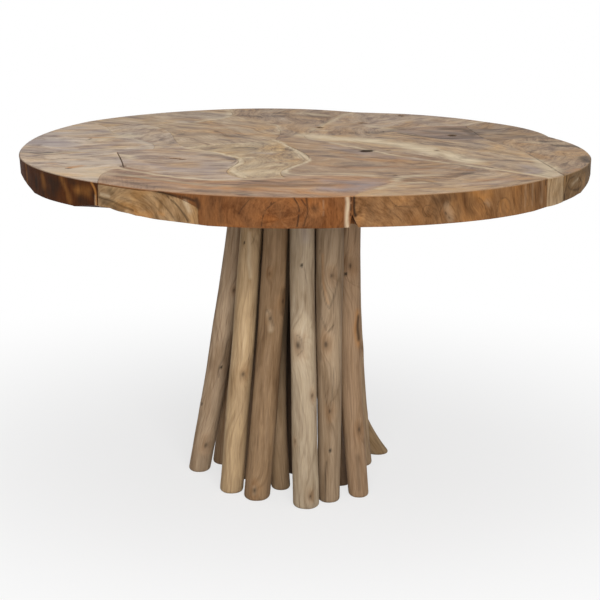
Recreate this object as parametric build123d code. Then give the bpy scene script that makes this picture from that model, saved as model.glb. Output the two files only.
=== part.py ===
from build123d import *
import math
import os

# Rustic round table: a mosaic slab of root-wood blocks on a flared bundle of debarked poles.
# Millimetres, +Z up, front towards -Y. Origin: on the floor, under the middle of the top's outline.

# Top
top_diameter = 1300
table_height = 780
slab_thickness = 62
rim_chamfer = 2.5
seam_gap = 0.7
open_seam_gap = 3.0
seam_step = 19  # the seams are cut in short straight facets of about this length
knot_depth = 19
rim_overrun = 45  # how far the cutting shapes run out past the rim

# Front filler piece, let in under the overhanging edge of the reddish block
filler_depth = 46
filler_cover = 4
filler_run = 240
filler_bearing = -28.5
filler_sag = 7
filler_drop = 25

# Three-cornered opening at the foot of the front right seam: bearings of its sides and its peak
corner_depth = 55
corner_height = 26
corner_left = 8.55
corner_right = 10.3
corner_peak = 8.95

# Loose tongues that tie the blocks together, hidden at mid thickness
tongue_length = 46
tongue_width = 34
tongue_thickness = 9
fit_gap = 0.3

# Pole bundle
bundle_x = -11
bundle_y = 0
pole_diameter = 56
inner_pole_diameter = 50
pole_gap = 1.5
front_pole_bearing = 6
inner_ring_bearing = -20
foot_reach = 90
inner_foot_reach = 57
tenon_width = 24
tenon_gap = 0.3

# Mounting plate under the slab, and its bolts
plate_thickness = 25
plate_margin = 22
plate_clip = 45
bolt_inset = 48
bolt_diameter = 8
bolt_bite = 20
bolt_gap = 0.3
head_flats = 13
head_height = 5.5

slab_bottom = table_height - slab_thickness
plate_bottom = slab_bottom - plate_thickness
map_scale = top_diameter / 1300  # the seam map below is drawn for a top 1300 across

# Outline of the top. Each block that reaches the rim has one saw-cut arc, which starts where its seam
# leaves the rim: (seam, bearing of the arc's middle, radius there)
rim_arcs = [
    ("front_left", -15, 652),
    ("front_right", 31, 641),
    ("long_pale", 55.3, 645),
    ("right_end", 83, 649),
    ("right_back_rim", 122, 649),
    ("back_right_outer", 145.5, 652),
    ("back_right_inner", 162, 630),
    ("back_centre_right", 182, 661),
    ("back_left_front", 216.4, 653),
    ("inner_left_outer", 262.4, 626),
    ("left_rim", 305, 652),
]

# Seams, as smooth lines through a few points (x, y). Those named above start outside the rim, and their
# second point is on it.
seams = {
    "front_left": [(-404, -575), (-407, -508), (-410, -430), (-374, -317)],
    "front_upper": [(-374, -317), (-265, -422), (-175, -469), (-117, -442)],
    "front_middle": [(-117, -442), (-35, -416)],
    "front_lower": [(-35, -416), (65, -382), (192, -447)],
    "front_right": [(84, -700), (102, -622), (137, -541), (192, -447)],
    "tan_upper": [(192, -447), (285, -442), (338, -362), (450, -327)],
    "long_pale": [
        (560, -440), (508, -386), (450, -327), (384, -233), (287, -127), (156, -6), (62, 50), (4, 171),
    ],
    "right_end": [(590, -400), (547, -345), (530, -221), (507, -65), (469, 59)],
    "right_back_rim": [(680, 232), (590, 207), (502, 166), (469, 59)],
    "right_back_foot": [(469, 59), (432, 155)],
    "pale_upper": [(4, 171), (125, 206), (215, 255)],
    "inset_lower": [(215, 255), (268, 212), (335, 141), (432, 155)],
    "inset_upper": [(215, 255), (270, 330), (405, 372)],
    "inset_right": [(432, 155), (413, 290), (405, 372)],
    "back_right_outer": [(500, 530), (463, 455), (405, 372)],
    "back_right_inner": [(262, 690), (256, 590), (235, 522), (163, 445), (160, 325), (215, 255)],
    "back_centre_right": [(165, 680), (134, 608), (104, 541), (44, 327), (4, 171)],
    "back_centre_foot": [(-62, 107), (4, 171)],
    "lens_right": [(-62, 107), (-6, -57), (14, -185), (-30, -298), (-35, -416)],
    "lens_left": [(-264, -31), (-180, -119), (-137, -220), (-154, -325), (-117, -442)],
    "lens_top": [(-264, -31), (-150, 33), (-62, 107)],
    "grey_lower": [(-409, -117), (-334, -63), (-264, -31)],
    "left_rim": [(-700, -262), (-610, -209), (-514, -150), (-409, -117)],
    "left_gap": [(-409, -117), (-390, -216), (-374, -317)],
    "inner_left_outer": [(-590, 425), (-533, 362), (-474, 270), (-438, 148), (-376, 70), (-334, -63)],
    "inner_left_right": [(-264, -31), (-299, 105), (-322, 220), (-396, 332)],
    "back_left_front": [(-194, 720), (-194, 637), (-181, 504), (-290, 362), (-396, 332), (-474, 270)],
    "back_centre_left": [(-62, 107), (-57, 290), (-118, 450), (-181, 504)],
}
open_seams = ["left_gap"]

# Each block's name and a point inside it
blocks = {
    "block_front_left_dark": (-500, -300),
    "block_front_reddish": (-60, -540),
    "block_front_right_tan": (330, -490),
    "block_right_end": (575, -50),
    "block_left_grey": (-500, 60),
    "block_centre_left": (-290, -290),
    "block_centre_lens": (-70, -150),
    "block_centre_right": (230, -250),
    "block_long_pale": (320, -20),
    "block_back_right_inner": (110, 430),
    "block_back_right": (260, 430),
    "block_inset_dark": (320, 260),
    "block_right_back": (500, 320),
    "block_back_centre": (-10, 400),
    "block_back_left": (-330, 480),
    "block_inner_left": (-370, 180),
    "block_inner_back": (-190, 220),
}

# Knot holes and checks that open in the surface: (x, y, length, width, turn of the long side)
knots = [
    (145, -53, 36, 27, 60),
]

# Waney edges under the rim: (bearing, width along the rim, rise at the rim, run inwards)
wanes = [
    (-75, 430, 30, 80),
    (-51, 270, 4, 60),
    (-37.2, 200, 15, 60),
    (-28, 300, 4, 60),
    (60, 340, 6, 60),
    (84, 530, 30, 95),
    (136, 220, 9, 60),
    (214, 300, 11, 70),
    (262, 260, 8, 60),
]

# Outer poles, clockwise from the left as seen from above with the front downwards:
# (name, top diameter less pole_diameter, foot diameter less pole_diameter, extra space to the next pole,
#  bearing of the foot, foot's reach less foot_reach, bend)
outer_poles = [
    ("pole_left", 2, -5, 12.5, -92.5, 12, 1.2),
    ("pole_front_left_outer", -6, -2, 7.5, -46.2, -16, 1.0),
    ("pole_front_left", -1, 3, 0, -24.5, -15, 1.5),
    ("pole_front", -1, 3, 2.5, 7.5, 19, 1.5),
    ("pole_front_right", 10, -7, 8, 24.4, -3, 0.9),
    ("pole_right_front", 7, -10, 2.5, 44.3, 5.5, 2.0),
    ("pole_right", 2, -8, 4.5, 112, -33, 1.9),
    ("pole_kicked_foot", -2, 3, 2.5, 127.6, 49, 4.2),
    ("pole_back_right", 4, -2, 2.5, 154, 10, 1.3),
    ("pole_back", 0, 1, 2.5, 183, -5, 1.3),
    ("pole_back_left", 2, 0, 2.5, 213, 4, 1.2),
    ("pole_left_back", -2, -4, 2.5, 248.4, -31, 1.3),
]

# Inner poles: (name, top diameter less inner_pole_diameter, foot diameter less inner_pole_diameter,
#  bearing of the foot, foot's reach less inner_foot_reach, bend)
inner_poles = [
    ("inner_pole_front", 0, -6, -13.7, 3, 1.0),
    ("inner_pole_right_front", 0, -2, 57, 27, 1.6),
    ("inner_pole_right_back", 0, -3, 110, -4, 1.0),
    ("inner_pole_back", 0, -2, 170, 1, 1.0),
    ("inner_pole_left_back", 0, -3, 230, 0, 1.0),
    ("inner_pole_left_front", 0, -2, 290, 1, 1.0),
]


def polar(radius, bearing):
    """Plan point at a bearing from the front, positive towards the right."""
    a = math.radians(bearing)
    return (radius * math.sin(a), -radius * math.cos(a))


def on_map(point):
    """A point of the seam map at the top's real size."""
    return (point[0] * map_scale, point[1] * map_scale)


def outline():
    """The top's outline: one arc for each block at the rim, meeting at small kinks."""
    kinks = [on_map(seams[name][1]) for name, _, _ in rim_arcs]
    arcs = []
    for i, (_, bearing, radius) in enumerate(rim_arcs):
        through = on_map(polar(radius, bearing))
        arcs.append(ThreePointArc(kinks[i], through, kinks[(i + 1) % len(kinks)]))
    return make_face(Wire(arcs))


def seam_line(name):
    return Spline(*[on_map(p) for p in seams[name]])


def seam_facets(name):
    """Points along a seam with its direction at each, keeping the points that it was drawn through."""
    line = seam_line(name)
    drawn = [line.param_at_point(Vector(*on_map(p))) for p in seams[name]]
    facets = []
    for start, end in zip(drawn, drawn[1:]):
        count = max(1, round((end - start) * line.length / seam_step))
        shares = [start + (end - start) * i / count for i in range(count)]
        facets += [(line @ share, line % share) for share in shares]
    facets.append((line @ 1, line % 1))
    return facets


def kerf(name):
    """The glue line of one seam, cut through the slab and a little past its ends to part the blocks."""
    width = open_seam_gap if name in open_seams else seam_gap
    facets = seam_facets(name)
    left = []
    right = []
    for i, (point, along) in enumerate(facets):
        if i == 0:
            point = point - along * seam_gap / 3
        if i == len(facets) - 1:
            point = point + along * seam_gap / 3
        aside = Vector(-along.Y, along.X) * width / 2
        left.append(point + aside)
        right.append(point - aside)
    ribbon = make_face(Polyline(*left, *reversed(right), close=True))
    return extrude(Pos(0, 0, slab_bottom - 1) * ribbon, slab_thickness + 2)


def wane(bearing, width, rise, run):
    """A shallow hollow under the rim that fades out inwards."""
    radius = (width**2 / 4 + rise**2) / (2 * rise)
    outer = polar(top_diameter / 2, bearing)
    out = Vector(*polar(1, bearing), 0)
    along = (out * run + Vector(0, 0, rise)).normalized()
    up = Vector(0, 0, 1) - along * along.Z
    edge = Vector(outer[0], outer[1], slab_bottom + rise)
    centre = edge - along * run / 2 - up.normalized() * radius
    return Plane(origin=centre, z_dir=along) * Cylinder(radius, run + 2 * rim_overrun)


def knot(x, y, length, width, turn):
    """A tapering knot hole in the surface."""
    px, py = on_map((x, y))
    floor = Ellipse(length * 0.36, width * 0.36)
    mouth = Ellipse(length / 2, width / 2)
    body = loft([Pos(0, 0, -knot_depth) * floor, Pos(0, 0, 1) * mouth], ruled=True)
    return Pos(px, py, table_height) * Rot(0, 0, turn) * body


def tongue_places():
    """Where the loose tongues cross the seams, and which way."""
    shares = {
        "long_pale": (0.32, 0.68),
        "lens_right": (0.3, 0.75),
        "lens_left": (0.3, 0.7),
        "back_centre_foot": (),
    }
    places = []
    for name in seams:
        line = seam_line(name)
        for share in shares.get(name, (0.5,)):
            point = line @ share
            tangent = line % share
            places.append((point.X, point.Y, math.degrees(math.atan2(tangent.Y, tangent.X))))
    return places


def tongue(place, grow=0.0):
    """A flat tongue lying across its seam at mid thickness, or its pocket when grown."""
    x, y, turn = place
    middle = slab_bottom + slab_thickness / 2
    body = Box(tongue_width + 2 * grow, tongue_length + 2 * grow, tongue_thickness + 2 * grow)
    return Pos(x, y, middle) * Rot(0, 0, turn) * body


def group(pieces):
    """Separate solids kept together under one name."""
    return Compound([solid for piece in pieces for solid in piece.solids()])


def pack_ring(diameters, spaces):
    """Radius of a closed ring of touching poles with the given spaces between them."""
    steps = []
    for i, d in enumerate(diameters):
        steps.append((d + diameters[(i + 1) % len(diameters)]) / 2 + spaces[i])
    low = max(steps) / 2
    high = sum(steps)
    for _ in range(60):
        radius = (low + high) / 2
        turn = sum(2 * math.asin(s / (2 * radius)) for s in steps)
        if turn > 2 * math.pi:
            low = radius
        else:
            high = radius
    bearings = [0.0]
    for s in steps[:-1]:
        bearings.append(bearings[-1] + math.degrees(2 * math.asin(s / (2 * radius))))
    return radius, bearings


def pole_lines():
    """Each pole as (name, top diameter, foot diameter, top point, foot point, bend)."""
    tops = [pole_diameter + row[1] for row in outer_poles]
    ring, bearings = pack_ring(tops, [pole_gap + row[3] for row in outer_poles])
    shift = front_pole_bearing - bearings[[row[0] for row in outer_poles].index("pole_front")]
    lines = []
    for row, bearing, top in zip(outer_poles, bearings, tops):
        foot = polar(ring + foot_reach + row[5], row[4])
        lines.append((row[0], top, pole_diameter + row[2], polar(ring, bearing + shift), foot, row[6]))
    inner_tops = [inner_pole_diameter + row[1] for row in inner_poles]
    inner_ring, inner_bearings = pack_ring(inner_tops, [pole_gap + 5] * len(inner_poles))
    for row, bearing, top in zip(inner_poles, inner_bearings, inner_tops):
        foot = polar(inner_ring + inner_foot_reach + row[4], row[3])
        start = polar(inner_ring, bearing + inner_ring_bearing)
        lines.append((row[0], top, inner_pole_diameter + row[2], start, foot, row[5]))
    core = inner_pole_diameter + 2
    lines.append(("centre_pole", core, core, (0, 0), (6, 4), 1.0))
    return lines


def ring_radius():
    """Radius of the outer ring at the plate."""
    first = pole_lines()[0]
    return math.hypot(*first[3])


def section(line, share, grow=0.0):
    """Round section of a pole at a share of its height."""
    _, top, foot, start, end, bend = line
    sweep = (1 - share) ** bend
    x = bundle_x + start[0] + (end[0] - start[0]) * sweep
    y = bundle_y + start[1] + (end[1] - start[1]) * sweep
    radius = (foot + (top - foot) * share) / 2
    return Pos(x, y, share * plate_bottom) * Circle(radius + grow)


def shaft(line, grow=0.0):
    """The pole from the floor to the plate, curving outwards towards its foot."""
    bend = line[5]
    shares = [0, 0.3, 0.62, 1]
    if bend == 1.0:
        shares = [0, 1]
    elif 1 < bend < 1.35:
        shares = [0, 0.45, 1]
    elif bend > 2:
        shares = [0, 0.09, 0.26, 0.6, 1]
    return loft([section(line, share, grow) for share in shares], ruled=True)


def pole(line):
    """A pole with the square tenon that goes up into the plate."""
    return shaft(line) + at_top(line, plate_bottom - 1) * square_peg(tenon_width, plate_thickness)


def at_top(line, z):
    """Over a pole's top end, turned to face outwards."""
    x, y = line[3]
    return Pos(bundle_x + x, bundle_y + y, z) * Rot(0, 0, math.degrees(math.atan2(y, x)))


def square_peg(width, height):
    return Box(width, width, height, align=(Align.CENTER, Align.CENTER, Align.MIN))


def plate_half():
    """Half the width of the square plate."""
    return ring_radius() + pole_diameter / 2 + plate_margin


def bolt_places():
    """One bolt in each corner of the plate."""
    reach = plate_half() - bolt_inset
    return [(reach * x, reach * y) for x in (-1, 1) for y in (-1, 1)]


def at_bolt(place, z):
    return Pos(bundle_x + place[0], bundle_y + place[1], z)


def up_cylinder(radius, height):
    return Cylinder(radius, height, align=(Align.CENTER, Align.CENTER, Align.MIN))


def bolt(place):
    """A hex-head lag bolt going up through the plate into the slab."""
    head = RegularPolygon(head_flats / 2, 6, major_radius=False)
    head = extrude(at_bolt(place, plate_bottom - head_height) * head, head_height)
    shank = at_bolt(place, plate_bottom) * up_cylinder(bolt_diameter / 2, plate_thickness + bolt_bite)
    return head + shank


def plate():
    """Square mounting plate with clipped corners, sockets for the tenons and holes for the bolts."""
    width = 2 * plate_half()
    body = Pos(bundle_x, bundle_y, plate_bottom) * square_peg(width, plate_thickness)
    body = chamfer(body.edges().filter_by(Axis.Z), plate_clip)
    socket = square_peg(tenon_width + 2 * tenon_gap, plate_thickness + 2)
    bore = up_cylinder(bolt_diameter / 2 + bolt_gap, plate_thickness + 2)
    sockets = [at_top(line, plate_bottom - 1) * socket for line in pole_lines()]
    bores = [at_bolt(place, plate_bottom - 1) * bore for place in bolt_places()]
    return body - sockets - bores


def slab():
    """The whole top before it is parted along its seams."""
    body = extrude(Pos(0, 0, slab_bottom) * outline(), slab_thickness - rim_chamfer)
    body = body + extrude(Pos(0, 0, table_height - rim_chamfer) * outline(), rim_chamfer, taper=45)
    body = body - [wane(*row) for row in wanes]
    body = body - [knot(*row) for row in knots]
    body = body - [tongue(place, fit_gap) for place in tongue_places()]
    bore = up_cylinder(bolt_diameter / 2 + bolt_gap, bolt_bite + 2)
    return body - [at_bolt(place, slab_bottom - 1) * bore for place in bolt_places()]


def middle():
    """Middle of the outline's box, which stands over the origin."""
    return outline().bounding_box().center()


def filler_profile(grow):
    """The filler's face on the rim: full height at the left, curving down to the right."""
    half = filler_run / 2 + grow
    top = table_height - filler_cover + grow
    low = slab_bottom - 2
    left = (-half - rim_overrun, low)
    left_top = (-half - rim_overrun, top)
    curve = ThreePointArc((half * 0.05, top), (half * 0.65, top - filler_sag), (half, top - filler_drop))
    edges = [
        Line(left, left_top),
        Line(left_top, curve @ 0),
        curve,
        Line(curve @ 1, (half + 1, low)),
        Line((half + 1, low), left),
    ]
    return make_face(Wire(edges))


def filler_region(grow=0.0):
    """Space that the filler takes out of the reddish block, grown by the glue line."""
    out = Vector(*polar(1, filler_bearing), 0)
    rim = Vector(*polar(top_diameter / 2, filler_bearing), 0)
    origin = rim - out * (filler_depth + grow)
    along = Vector(-out.Y, out.X, 0)
    standing = Plane(origin=origin, x_dir=along, z_dir=out)
    return extrude(standing * filler_profile(grow), filler_depth + rim_overrun)


def corner_void():
    """The small three-cornered opening at the foot of the front right seam."""
    inner = top_diameter / 2 - corner_depth
    out = Vector(*polar(1, (corner_left + corner_right) / 2), 0)
    a = Vector(*polar(inner, corner_left), slab_bottom - 1)
    b = Vector(*polar(inner, corner_right), slab_bottom - 1)
    c = Vector(*polar(inner, corner_peak), slab_bottom + corner_height)
    return extrude(make_face(Polyline(a, b, c, close=True)), amount=corner_depth + rim_overrun, dir=out)


def solid_at(body, point):
    """The one solid of a body that holds a point."""
    return [s for s in body.solids() if s.is_inside(point)][0]


def parted_blocks():
    """The slab parted along every seam, as named blocks."""
    whole = slab()
    for name in seams:
        whole = whole - kerf(name)
    found = {}
    for name, point in blocks.items():
        x, y = on_map(point)
        found[name] = solid_at(whole, Vector(x, y, table_height - 2))
    reddish = found["block_front_reddish"]
    found["block_front_rim_filler"] = reddish & filler_region()
    found["block_front_reddish"] = reddish - filler_region(seam_gap)
    for name in ("block_front_reddish", "block_front_right_tan"):
        found[name] = found[name] - corner_void()
    return found


def all_parts():
    parts = parted_blocks()
    parts["slab_tongues"] = group([tongue(place) for place in tongue_places()])
    parts["mounting_plate"] = plate()
    parts["mounting_bolts"] = group([bolt(place) for place in bolt_places()])
    for line in pole_lines():
        parts[line[0]] = pole(line)
    return parts


os.makedirs("parts", exist_ok=True)
centre = middle()
for name, shape in all_parts().items():
    export_step(Pos(-centre.X, -centre.Y, 0) * shape, f"parts/{name}.step")
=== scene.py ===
import math

import bmesh
import bpy
import numpy as np
from mathutils import Matrix, Vector, noise


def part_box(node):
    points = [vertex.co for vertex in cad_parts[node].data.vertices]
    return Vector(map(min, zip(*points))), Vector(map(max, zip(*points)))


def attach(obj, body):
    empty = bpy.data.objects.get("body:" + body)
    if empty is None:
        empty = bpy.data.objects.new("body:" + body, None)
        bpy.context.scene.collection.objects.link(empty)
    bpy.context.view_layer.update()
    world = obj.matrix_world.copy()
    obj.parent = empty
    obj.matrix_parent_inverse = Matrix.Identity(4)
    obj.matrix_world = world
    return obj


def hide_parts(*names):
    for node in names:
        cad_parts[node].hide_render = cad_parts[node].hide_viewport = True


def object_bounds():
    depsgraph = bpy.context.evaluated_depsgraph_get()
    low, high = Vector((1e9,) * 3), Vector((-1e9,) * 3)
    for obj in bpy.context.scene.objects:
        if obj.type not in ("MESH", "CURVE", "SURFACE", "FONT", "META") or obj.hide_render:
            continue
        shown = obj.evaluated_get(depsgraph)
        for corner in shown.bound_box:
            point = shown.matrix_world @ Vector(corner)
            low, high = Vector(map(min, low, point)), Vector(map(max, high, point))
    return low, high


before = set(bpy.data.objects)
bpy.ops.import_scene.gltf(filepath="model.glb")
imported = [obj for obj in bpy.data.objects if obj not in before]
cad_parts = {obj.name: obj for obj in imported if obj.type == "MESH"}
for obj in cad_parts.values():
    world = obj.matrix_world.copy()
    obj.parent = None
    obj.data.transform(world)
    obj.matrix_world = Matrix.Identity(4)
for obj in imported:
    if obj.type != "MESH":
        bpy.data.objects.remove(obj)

# Rustic round table: a mosaic top of root-wood blocks on a flared bundle of debarked poles.
# Metres in Blender. Points on the top are given in millimetres on the seam map that the blocks were
# drawn on, whose middle lies at MAP_MIDDLE in the row frame. Bearings are degrees from the front,
# positive to the right.

CAD_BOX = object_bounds()
MAP_MIDDLE = Vector((-0.0089, -0.0091))
TABLE_HEIGHT = CAD_BOX[1].z
PLATE_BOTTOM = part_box("mounting_plate")[0].z
SLAB_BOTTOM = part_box("mounting_plate")[1].z
RIM_RADIUS = 0.65
MM = 0.001

# Seed of the noise that makes the poles sway, which would otherwise be taken from the clock
NOISE_SEED = 1795512556
noise.seed_set(NOISE_SEED)

# The cells that the blocks' faces are cut into: their size, where their planes lie, and how much finer
# they are under pits and thin marks
GRID_STEP = 0.006
GRID_SHIFT = 0.0013
GRID_MARGIN = 0.0015
FINE_CUTS = 3
THIN_MARK = 6
THIN_MARGIN = 4

# Which faces are the top's and which are walls, by how far their normals point up or down, and how far
# below the top's height a face or a vertex still belongs to the top
FACING_UP = 0.9
FACING_OUT = 0.6
TOP_BAND = 0.001
FLAT_BAND = 0.0003

# The blocks' edges: how far they are rounded, where the top's wood gives way to the rim's below the
# top, how near the wall counts as the rim, and the angle over which an edge stays sharp
EDGE_ROUND = 0.0013
TOP_WOOD_ENDS = 0.0024
TOP_WOOD_FADE = 0.0022
RIM_BAND = 0.035
SHARP_ANGLE = 38

# The camera stands where the photographer stood
FOCAL_PX = 1772.8
FRAME_PX = 600
SENSOR_MM = 36
CAMERA_AT = (-0.0090, -4.0091, 1.3885)
CAMERA_TILT = 13.597
CAMERA_ROLL = 0.761

# Strength of the world's light, and the floor: its tone, and how it fades to white from near to far
AMBIENT = 0.30
FLOOR_TONE = (0.80, 0.80, 0.80, 1.0)
FLOOR_FADE = {"From_Min": 0.5, "From_Max": 1.8, "To_Min": 0.70, "To_Max": 1.0}
FLOOR_SIZE = 30


def srgb(r, g, b):
    """A colour given as it looks on screen, 0 to 255."""
    linear = []
    for c in (r, g, b):
        c = c / 255
        linear.append(c / 12.92 if c < 0.04045 else ((c + 0.055) / 1.055) ** 2.4)
    return (*linear, 1.0)


WHITE = srgb(255, 255, 255)
CREAM = srgb(208, 190, 160)
NEAR_BLACK = srgb(34, 25, 18)
WARM = srgb(176, 120, 62)
LILAC = srgb(150, 138, 138)

# ---------------------------------------------------------------- node helpers


class Graph:
    """A new material's nodes, or those of a given tree, made with short calls."""

    def __init__(self, name, tree=None):
        if tree is None:
            self.material = bpy.data.materials.new(name)
            self.material.use_nodes = True
            tree = self.material.node_tree
        self.tree = tree
        self.shader = tree.nodes.get("Principled BSDF")

    def node(self, kind, settings=None, **sockets):
        made = self.tree.nodes.new(kind)
        for key, value in (settings or {}).items():
            setattr(made, key, value)
        self.fill(made, sockets)
        return made

    def shade(self, **sockets):
        self.fill(self.shader, sockets)

    def fill(self, node, sockets):
        for key, value in sockets.items():
            self.feed(node.inputs[key.replace("_", " ")], value)

    def feed(self, socket, value):
        if isinstance(value, bpy.types.NodeSocket):
            self.tree.links.new(value, socket)
        else:
            socket.default_value = value

    def joined(self, kind, settings, *values):
        """A node with its first sockets filled in turn."""
        made = self.node(kind, settings)
        for socket, value in zip(made.inputs, values):
            self.feed(socket, value)
        return made

    def math(self, operation, a, b=0.0, clamp=False):
        settings = {"operation": operation, "use_clamp": clamp}
        return self.joined("ShaderNodeMath", settings, a, b).outputs[0]

    def vector(self, operation, *values):
        return self.joined("ShaderNodeVectorMath", {"operation": operation}, *values).outputs[0]

    def weighed(self, *parts):
        """The sum of (value, share) pairs."""
        total = 0.0
        for value, share in parts:
            total = self.math("ADD", self.math("MULTIPLY", value, share), total)
        return total

    def mix(self, factor, a, b, blend="MIX"):
        made = self.node("ShaderNodeMix", {"data_type": "RGBA", "blend_type": blend})
        self.feed(made.inputs[0], factor)
        self.feed(made.inputs[6], a)
        self.feed(made.inputs[7], b)
        return made.outputs[2]

    def span(self, value, low, high, to_low=0.0, to_high=1.0):
        """A value's range low to high spread over another range, and held there."""
        ends = {"From_Min": low, "From_Max": high, "To_Min": to_low, "To_Max": to_high}
        return self.node("ShaderNodeMapRange", Value=value, **ends).outputs[0]

    def attribute(self, name, output):
        return self.node("ShaderNodeAttribute", {"attribute_name": name}).outputs[output]

    def noise(self, vector, scale, detail=4.0, roughness=0.55, distortion=0.0, layer=0.0):
        """Noise over stretched coordinates. Another layer is other noise at the same places."""
        look = {"Detail": detail, "Roughness": roughness, "Distortion": distortion, "W": layer, "Scale": 1.0}
        place = self.vector("MULTIPLY", vector, scale)
        return self.node("ShaderNodeTexNoise", {"noise_dimensions": "4D"}, Vector=place, **look).outputs[0]

    def ramp(self, factor, *stops):
        made = self.node("ShaderNodeValToRGB", Fac=factor)
        elements = made.color_ramp.elements
        while len(elements) < len(stops):
            elements.new(0.5)
        for element, (place, colour) in zip(elements, stops):
            element.position = place
            element.color = colour
        return made.outputs[0]

    def darkened(self, share, colour, value, low, tone, high):
        """The colour times a ramp that runs from a tone at the value low to white at high."""
        return self.mix(share, colour, self.ramp(value, (low, srgb(*tone)), (high, WHITE)), "MULTIPLY")

    def relief(self, height, strength, distance):
        bump = self.node("ShaderNodeBump", Height=height, Strength=strength, Distance=distance)
        self.shade(Normal=bump.outputs[0])

    def end(self, output, factor, a, b):
        """Ends the tree with a blend of two shaders."""
        blend = self.joined("ShaderNodeMixShader", None, factor, a.outputs[0], b.outputs[0])
        self.joined(output, None, blend.outputs[0])


# ---------------------------------------------------------------- wood

# Noise scales along the grain and across it
CLOUDS = (8, 15, 15)
STREAKS = (14, 58, 58)
FINE = (40, 230, 230)
STAIN = (7, 11, 11)
FIBRES = (28, 620, 620)
STAIN_LAYER = 31.0
DRIFT = (4, 9, 9)

# Where the five tones of a palette lie, and the palettes: gain and hue of all tones but the middle one
TONE_PLACES = (-1.0, -0.45, 0.0, 0.4, 1.0)
POLE_TONE_PLACES = (0.36, 0.44, 0.50, 0.55, 0.64)
TOP_TONES = (
    (0.50, 0.97, 0.94, 0.98), (0.76, 1.0, 0.95, 0.96), (1.10, 1.01, 1.0, 0.96), (1.34, 0.98, 1.02, 1.06),
)
RIM_TONES = (
    (0.36, 1.0, 0.84, 0.68), (0.68, 1.0, 0.93, 0.84), (1.22, 1.0, 1.02, 1.0), (1.60, 0.96, 1.04, 1.14),
)
POLE_TONES = (
    (0.58, 1.0, 0.90, 0.80), (0.84, 1.0, 0.96, 0.90), (1.12, 1.0, 1.0, 0.98), (1.30, 0.98, 1.02, 1.06),
)

# (spread of the tones, strength of the growth rings)
TOP_CONTRAST = (0.105, 0.50)
RIM_CONTRAST = (0.17, 0.38)
BLOCK_SWIRL = 0.07
BLOCK_ROUGHNESS = (0.58, 0.80)
RIM_SPECULAR = 0.06
TOP_SPECULAR = 0.20


def tinted(colour, gain, hue=(1, 1, 1)):
    """A colour made lighter or darker, and pushed towards a hue."""
    return (*[min(1.0, colour[i] * gain * hue[i]) for i in range(3)], 1.0)


def palette(base, tones, places):
    """Ramp stops through a base colour and its four tones."""
    dark, brown, light, cream = [tinted(base, gain, hue) for gain, *hue in tones]
    return zip(places, (dark, brown, base, light, cream))


def swirled(g, amount):
    """The grain's coordinates pushed about by slow noise, so that the figure swirls."""
    flow = g.attribute("flow", "Vector")
    drift = g.node("ShaderNodeTexNoise", Vector=g.vector("MULTIPLY", flow, DRIFT), Scale=1.0, Detail=2.0)
    centred = g.vector("SUBTRACT", drift.outputs["Color"], (0.5, 0.5, 0.5))
    return g.vector("ADD", flow, g.vector("MULTIPLY", centred, (amount, amount, amount)))


def growth_rings(g, clouds, rate, waver, detail, roughness):
    """Noise along the distance from the pith, made to waver by the clouds."""
    ring = g.math("MULTIPLY", g.attribute("ring", "Fac"), rate)
    place = g.node("ShaderNodeCombineXYZ", X=ring, Y=g.math("MULTIPLY", clouds, waver))
    return g.noise(place.outputs[0], (1, 1, 1), detail, roughness)


def figured(g, flow, base, tones, spread, ring_share):
    """Wood figure in one palette: clouds, streaks, growth rings and fibres. Spread widens the contrast."""
    clouds = g.noise(flow, CLOUDS, distortion=1.2)
    streaks = g.noise(flow, STREAKS, distortion=0.9)
    fine = g.noise(flow, FINE, detail=3)
    value = g.weighed((clouds, 0.50), (streaks, 0.32), (fine, 0.18))
    colour = g.ramp(value, *palette(base, tones, [0.5 + place * spread for place in TONE_PLACES]))
    stain = g.noise(flow, STAIN, detail=3, distortion=0.8, layer=STAIN_LAYER)
    cast = ((0.34, srgb(255, 243, 222)), (0.50, srgb(250, 250, 250)), (0.66, srgb(238, 243, 252)))
    colour = g.mix(1.0, colour, g.ramp(stain, *cast), "MULTIPLY")
    rings = growth_rings(g, clouds, 210.0, 7.0, 3, 0.7)
    colour = g.darkened(ring_share, colour, rings, 0.34, (158, 142, 130), 0.52)
    fibres = g.noise(flow, FIBRES, detail=2, roughness=0.7)
    return g.darkened(0.5, colour, fibres, 0.32, (190, 180, 172), 0.60), rings, fibres


def block_wood(name, top, rim):
    """A block's material: a bleached top and an oiled rim of the same wood, with its marks."""
    g = Graph(name)
    flow = swirled(g, BLOCK_SWIRL)
    face = g.attribute("topness", "Fac")
    top_colour, rings, fibres = figured(g, flow, srgb(*top), TOP_TONES, *TOP_CONTRAST)
    rim_colour, _, _ = figured(g, flow, srgb(*rim), RIM_TONES, *RIM_CONTRAST)
    g.shade(
        Base_Color=marked(g, g.mix(face, rim_colour, top_colour), flow),
        Roughness=g.span(fibres, 0.3, 0.7, *BLOCK_ROUGHNESS),
        Specular_IOR_Level=g.span(face, 0.0, 1.0, RIM_SPECULAR, TOP_SPECULAR),
    )
    g.relief(g.weighed((rings, 0.5), (fibres, 0.6)), 0.35, 0.0006)
    return g.material


def marked(g, colour, flow):
    """The colour with sapwood, stains, painted shade, warm streaks and weathered patches laid over it."""
    marks = g.node("ShaderNodeAttribute", {"attribute_name": "marks"}).outputs
    pale, dark, warm = g.node("ShaderNodeSeparateColor", Color=marks["Color"]).outputs
    break_up = g.span(g.noise(flow, (18, 70, 70)), 0.32, 0.62, 0.35, 1.15)
    for weight, tone in ((pale, CREAM), (warm, WARM), (marks["Alpha"], LILAC)):
        colour = g.mix(g.math("MULTIPLY", weight, break_up, clamp=True), colour, tone)
    # the dark weights carry dark stains, and painted shade on the inner poles and at a rim joint
    return g.mix(g.math("MULTIPLY", dark, 1.0, clamp=True), colour, NEAR_BLACK)


# ---------------------------------------------------------------- the blocks

# The kinds of mark, in the order of the colour attribute that carries their weights
KINDS = ("pale", "dark", "warm", "grey")


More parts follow.
